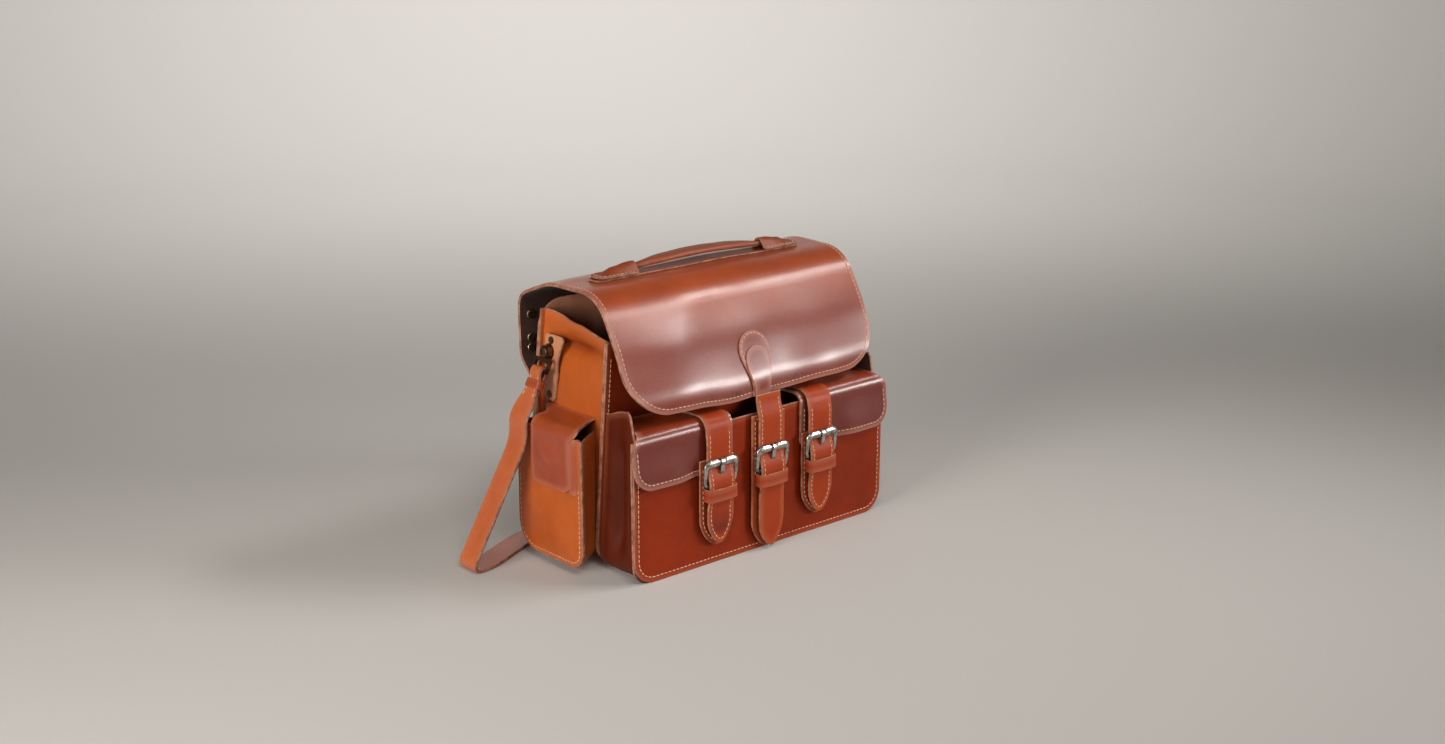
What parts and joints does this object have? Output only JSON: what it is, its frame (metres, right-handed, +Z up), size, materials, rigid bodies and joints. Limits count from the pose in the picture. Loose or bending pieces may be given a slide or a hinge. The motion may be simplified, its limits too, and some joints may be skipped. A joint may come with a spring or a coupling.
{
  "type": "satchel bag",
  "caption": "Leather satchel with an arched front flap, buckled straps, a wide front pocket, flapped side pockets, a top handle and a shoulder strap.",
  "frame": {"origin": "on the floor, in the underside of the main compartment, midway between its two sides", "axes": "+Z up, the front with the buckles faces -Y, +X is the bag's left-to-right as seen from the front"},
  "size_m": [0.4884, 0.1948, 0.2696],
  "materials": {
    "flap_leather": "glossy burgundy-brown pull-up leather",
    "body_leather": "waxed orange-tan leather",
    "strap_leather": "waxed orange-brown leather with cream stitching",
    "shoulder_leather": "light tan leather, satin",
    "lining_leather": "plain flesh-side leather",
    "pewter": "antique pewter, worn edges",
    "antique_brass": "antique brass",
    "magnet_steel": "plain steel"
  },
  "bodies": {
    "bag": {"back_panel": "body_leather", "back_rivets": "antique_brass", "back_stay_left": "lining_leather", "back_stay_right": "lining_leather", "flap_back": "flap_leather", "front_panel": "body_leather", "front_pocket_gusset": "body_leather", "front_pocket_panel": "body_leather", "main_gusset": "body_leather", "panel_magnets": "magnet_steel", "pocket_top_left": "flap_leather", "pocket_top_right": "flap_leather", "side_flap_top_left": "flap_leather", "side_flap_top_right": "flap_leather", "side_pocket_gusset_left": "body_leather", "side_pocket_gusset_right": "body_leather", "side_pocket_panel_left": "body_leather", "side_pocket_panel_right": "body_leather", "side_tab_left": "body_leather", "side_tab_right": "body_leather", "strap_roots": "strap_leather", "swivel_post_left": "antique_brass", "swivel_post_right": "antique_brass", "tab_rivets": "antique_brass"},
    "flap": {"main_flap": "flap_leather", "flap_tongue": "flap_leather", "centre_strap": "strap_leather", "centre_strap_backing": "lining_leather", "centre_buckle": "pewter", "centre_keeper": "strap_leather", "centre_magnet": "magnet_steel", "handle_base": "strap_leather", "handle_backing": "lining_leather", "handle_anchor_left": "strap_leather", "handle_anchor_right": "strap_leather"},
    "centre_prong": {"centre_prong": "pewter"},
    "handle": {"handle": "strap_leather"},
    "side_flap_left": {"side_pocket_flap_left": "flap_leather"},
    "side_flap_right": {"side_pocket_flap_right": "flap_leather"},
    "carry_strap": {"shoulder_strap": "shoulder_leather", "strap_ring_left": "antique_brass", "strap_ring_right": "antique_brass", "strap_keeper_left": "shoulder_leather", "strap_keeper_right": "shoulder_leather"},
    "front_flap_left": {"pocket_flap_left": "flap_leather", "left_strap": "strap_leather", "left_strap_backing": "lining_leather", "left_buckle": "pewter", "left_keeper": "strap_leather", "left_magnet": "magnet_steel"},
    "left_prong": {"left_prong": "pewter"},
    "front_flap_right": {"pocket_flap_right": "flap_leather", "right_strap": "strap_leather", "right_strap_backing": "lining_leather", "right_buckle": "pewter", "right_keeper": "strap_leather", "right_magnet": "magnet_steel"},
    "right_prong": {"right_prong": "pewter"}
  },
  "joints": [
    {"name": "main_flap_lift", "type": "hinge", "parent": "bag", "child": "flap", "pos_m": [0, 0.0978, 0.221], "axis": [-1, 0, 0], "range_deg": [0, 150]},
    {"name": "handle_tilt", "type": "hinge", "parent": "flap", "child": "handle", "pos_m": [0, 0.019, 0.2628], "axis": [1, 0, 0], "range_deg": [-20, 20]},
    {"name": "centre_prong_lift", "type": "hinge", "parent": "flap", "child": "centre_prong", "pos_m": [0, -0.086, 0.0995], "axis": [-1, 0, 0], "range_deg": [0, 70]},
    {"name": "front_flap_left_lift", "type": "hinge", "parent": "bag", "child": "front_flap_left", "pos_m": [-0.063, -0.0695, 0.1315], "axis": [-1, 0, 0], "range_deg": [0, 80]},
    {"name": "left_prong_lift", "type": "hinge", "parent": "front_flap_left", "child": "left_prong", "pos_m": [-0.063, -0.086, 0.0995], "axis": [-1, 0, 0], "range_deg": [0, 70]},
    {"name": "front_flap_right_lift", "type": "hinge", "parent": "bag", "child": "front_flap_right", "pos_m": [0.063, -0.0695, 0.1315], "axis": [-1, 0, 0], "range_deg": [0, 80]},
    {"name": "right_prong_lift", "type": "hinge", "parent": "front_flap_right", "child": "right_prong", "pos_m": [0.063, -0.086, 0.0995], "axis": [-1, 0, 0], "range_deg": [0, 70]},
    {"name": "side_flap_left_lift", "type": "hinge", "parent": "bag", "child": "side_flap_left", "pos_m": [-0.1716, 0.0075, 0.129], "axis": [0, 1, 0], "range_deg": [0, 80]},
    {"name": "side_flap_right_lift", "type": "hinge", "parent": "bag", "child": "side_flap_right", "pos_m": [0.1716, 0.0075, 0.129], "axis": [0, -1, 0], "range_deg": [0, 80]},
    {"name": "shoulder_strap_swing", "type": "hinge", "parent": "bag", "child": "carry_strap", "pos_m": [0, 0.05, 0.19], "axis": [1, 0, 0], "range_deg": [0, 170]}
  ]
}
